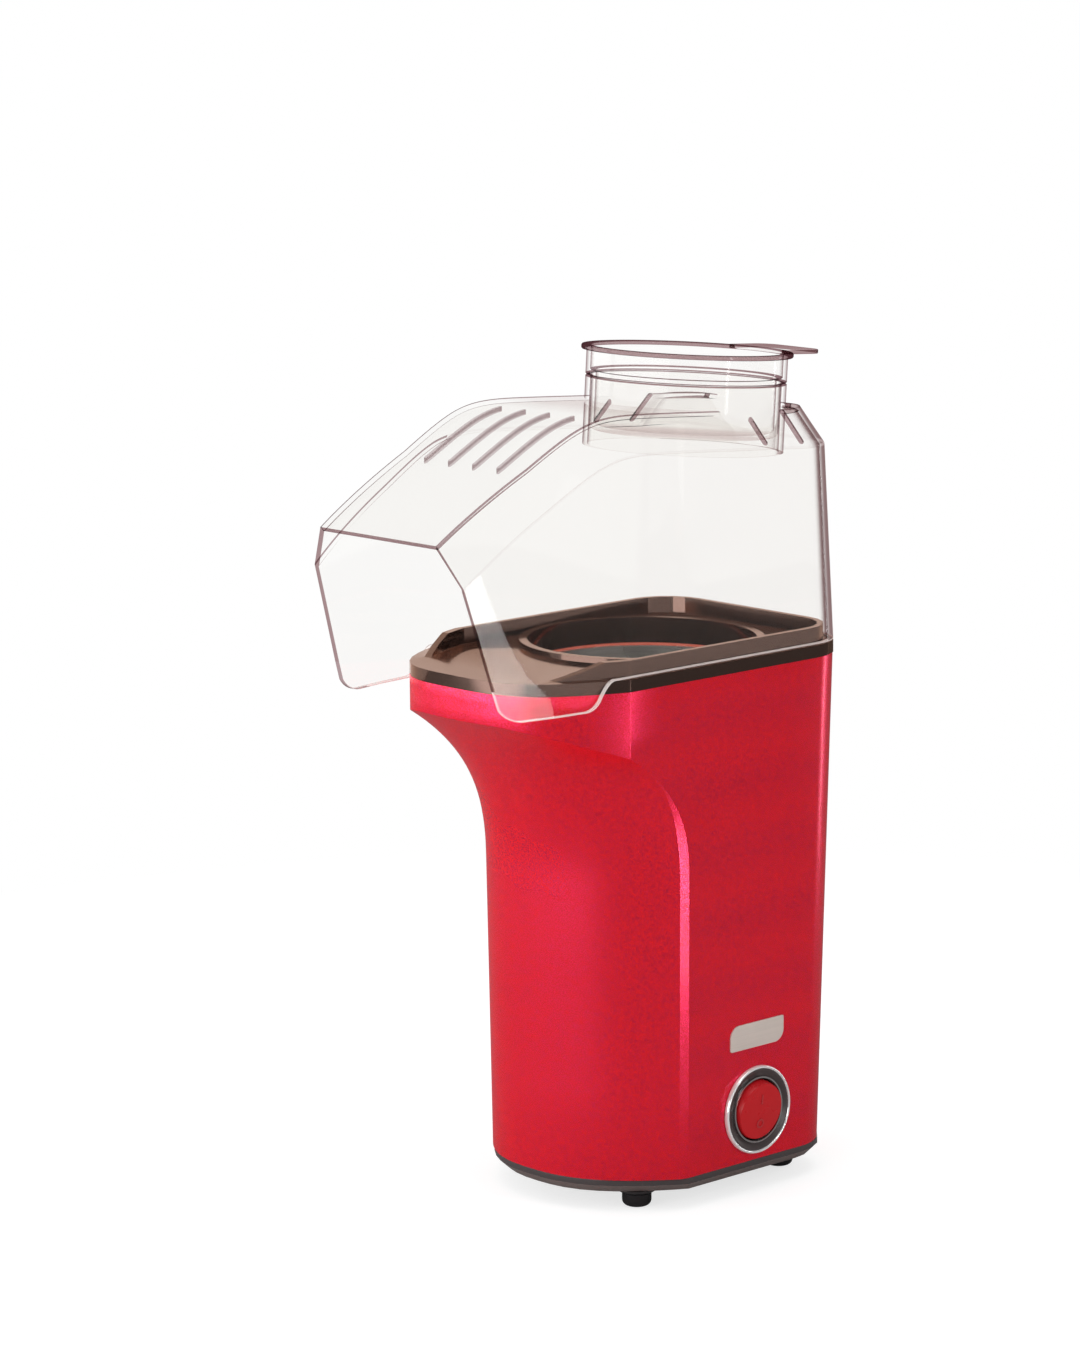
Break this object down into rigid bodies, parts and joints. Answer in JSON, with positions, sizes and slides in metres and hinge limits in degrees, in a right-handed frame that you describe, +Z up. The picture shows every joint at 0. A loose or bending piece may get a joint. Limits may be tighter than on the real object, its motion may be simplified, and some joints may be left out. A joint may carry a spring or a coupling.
{
  "type": "hot-air popcorn maker",
  "caption": "Hot-air popcorn maker: flared red housing on a black base, black chute deck, clear hood with a measuring cup in its neck, and a round rocker switch.",
  "frame": {"origin": "on the popping chamber's axis, in the plane of the feet's undersides", "axes": "+Z up, -Y towards the chute's mouth, +X towards the side with the switch"},
  "size_m": [0.1149, 0.2303, 0.3437],
  "materials": {
    "red_plastic": "satin gloss with a fine metallic fleck",
    "black_plastic": "satin gloss",
    "black_gloss": "high gloss, very dark brown black",
    "foot_rubber": "smooth dark rubber",
    "zinc_steel": "zinc plated",
    "clear_plastic": "clear polycarbonate",
    "chamber_aluminium": "deep drawn, satin",
    "silicone": "matte silicone",
    "sheet_steel": "galvanised sheet",
    "mica": "layered mica board",
    "coil_wire": "heat-darkened resistance wire",
    "dark_plastic": "moulded phenolic",
    "pale_plastic": "moulded nylon",
    "fan_metal": "stamped",
    "copper": "enamelled copper windings",
    "ferrite": "sintered ferrite",
    "carbon": "carbon",
    "bearing_bronze": "sintered bronze",
    "board_green": "circuit board",
    "terminal_brass": "tinned",
    "chrome": "polished",
    "rocker_red": "gloss",
    "mark_red": "gloss",
    "badge_silver": "satin silver",
    "wire_sleeve": "glass-fibre sleeve"
  },
  "bodies": {
    "machine": {"body_shell": "red_plastic", "base_plate": "black_plastic", "feet": "foot_rubber", "base_screws": "zinc_steel", "duct_screws": "zinc_steel", "top_deck": "black_gloss", "deck_screws": "zinc_steel", "popping_chamber": "chamber_aluminium", "chamber_seal": "silicone", "air_jacket": "sheet_steel", "heater_base": "sheet_steel", "mica_frame": "mica", "heating_coil": "coil_wire", "thermostat": "dark_plastic", "thermostat_bracket": "sheet_steel", "thermal_fuse": "pale_plastic", "fan_housing": "dark_plastic", "motor_can": "sheet_steel", "motor_magnets": "ferrite", "motor_end_cap": "pale_plastic", "motor_brushes": "carbon", "motor_bearings": "bearing_bronze", "motor_screws": "zinc_steel", "rectifier_board": "board_green", "diodes": "dark_plastic", "switch_well": "black_gloss", "switch_body": "dark_plastic", "switch_terminals": "terminal_brass", "chrome_ring": "chrome", "inner_ring": "chrome", "badge_plate": "badge_silver", "cord_bushing": "foot_rubber", "lead_wires": "wire_sleeve"},
    "rotor": {"fan_wheel": "fan_metal", "motor_shaft": "zinc_steel", "armature": "copper", "commutator": "copper"},
    "rocker": {"rocker": "rocker_red", "rocker_marks": "mark_red", "rocker_pin": "zinc_steel"},
    "hood": {"hood": "clear_plastic"},
    "cup": {"measuring_cup": "clear_plastic"}
  },
  "joints": [
    {"name": "fan_spin", "type": "hinge", "parent": "machine", "child": "rotor", "pos_m": [0, 0, 0.05], "axis": [0, 0, 1], "continuous": true},
    {"name": "switch_rock", "type": "hinge", "parent": "machine", "child": "rocker", "pos_m": [0.05353, 0.0107, 0.0348], "axis": [0, -1, 0], "range_deg": [0, 14]},
    {"name": "hood_lift", "type": "slide", "parent": "machine", "child": "hood", "axis": [0, 0, 1], "range_m": [0, 0.045]},
    {"name": "cup_lift", "type": "slide", "parent": "hood", "child": "cup", "axis": [0, 0.0722, 0.9974], "range_m": [0, 0.04]}
  ]
}
